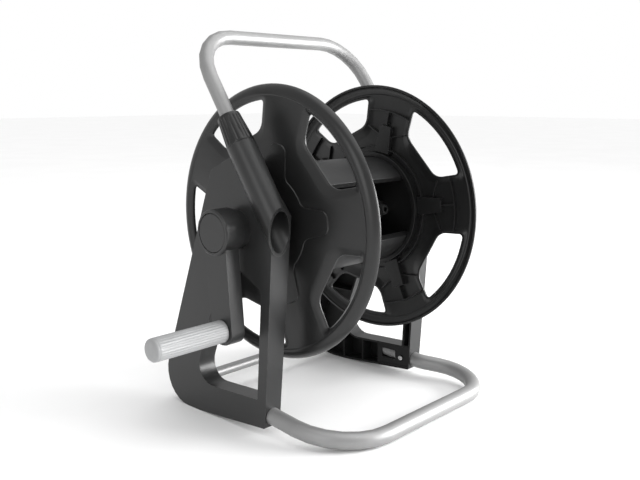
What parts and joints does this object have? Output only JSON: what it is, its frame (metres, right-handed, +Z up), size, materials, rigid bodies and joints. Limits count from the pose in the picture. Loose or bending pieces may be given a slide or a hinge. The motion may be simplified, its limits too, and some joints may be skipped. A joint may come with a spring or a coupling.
{
  "type": "garden hose reel",
  "caption": "Free-standing hose reel: crank-turned drum with windowed flanges between two side frames, on a bent tube base with a telescopic tube carrying handle.",
  "frame": {"origin": "on the floor, under the middle of the overall box", "axes": "+X across the stand from the crank side to the inlet side and along the drum's axis, +Y towards the rear heels, +Z up; the base loop is at -Y"},
  "size_m": [0.4862, 0.34, 0.4858],
  "materials": {
    "frame_plastic": "fine satin texture, dark grey",
    "reel_plastic": "satin, near black",
    "drum_plastic": "satin, near black",
    "collar_plastic": "black, moulded",
    "tube_aluminium": "satin anodised",
    "grip_plastic": "off-white, fluted",
    "grip_cap_plastic": "light grey",
    "acetal": "natural white, smooth",
    "steel": "zinc plated",
    "rubber": "black, moulded"
  },
  "bodies": {
    "stand": {"side_frame_left": "frame_plastic", "side_frame_right": "frame_plastic", "bearing_bush_left": "acetal", "bearing_bush_right": "acetal", "base_loop_tube": "tube_aluminium", "rear_cross_tube": "tube_aluminium", "base_screw_left": "steel", "base_screw_right": "steel", "collet_left": "acetal", "collet_right": "acetal", "guide_bush_left": "acetal", "guide_bush_right": "acetal"},
    "handle": {"handle_tube": "tube_aluminium", "handle_plug_left": "collar_plastic", "handle_plug_right": "collar_plastic"},
    "collar_left": {"lock_collar_left": "collar_plastic"},
    "collar_right": {"lock_collar_right": "collar_plastic"},
    "reel": {"flange_left": "reel_plastic", "flange_right": "reel_plastic", "drum_shell_upper": "drum_plastic", "drum_shell_lower": "drum_plastic", "axle_tube": "acetal", "axle_clip_left": "steel", "axle_clip_right": "steel", "axle_seal_1": "rubber", "axle_seal_2": "rubber", "outlet_tee": "collar_plastic", "outlet_nut": "collar_plastic", "outlet_tail": "collar_plastic", "crank_arm": "frame_plastic", "crank_cap": "frame_plastic", "crank_screw": "steel", "crank_washer": "steel", "grip_spindle": "steel", "grip_retainer": "steel"},
    "crank_grip": {"grip": "grip_plastic", "grip_end_cap": "grip_cap_plastic"},
    "inlet": {"inlet_elbow": "collar_plastic", "inlet_nut": "collar_plastic", "inlet_nipple": "collar_plastic", "nipple_seal": "rubber"}
  },
  "joints": [
    {"name": "reel_spin", "type": "hinge", "parent": "stand", "child": "reel", "pos_m": [0.0486, 0, 0.249], "axis": [1, 0, 0], "continuous": true},
    {"name": "grip_spin", "type": "hinge", "parent": "reel", "child": "crank_grip", "pos_m": [0.0486, -0.0111, 0.13373], "axis": [1, 0, 0], "continuous": true},
    {"name": "handle_slide", "type": "slide", "parent": "stand", "child": "handle", "axis": [0, 0.5534, 0.8329], "range_m": [-0.06, 0]},
    {"name": "collar_left_twist", "type": "hinge", "parent": "stand", "child": "collar_left", "pos_m": [-0.0959, 0.00202, 0.34639], "axis": [0, 0.5534, 0.8329], "range_deg": [0, 90]},
    {"name": "collar_right_twist", "type": "hinge", "parent": "stand", "child": "collar_right", "pos_m": [0.1931, 0.00202, 0.34639], "axis": [0, 0.5534, 0.8329], "range_deg": [0, 90]},
    {"name": "inlet_swivel", "type": "hinge", "parent": "stand", "child": "inlet", "pos_m": [0.2326, 0, 0.249], "axis": [1, 0, 0], "continuous": true}
  ]
}
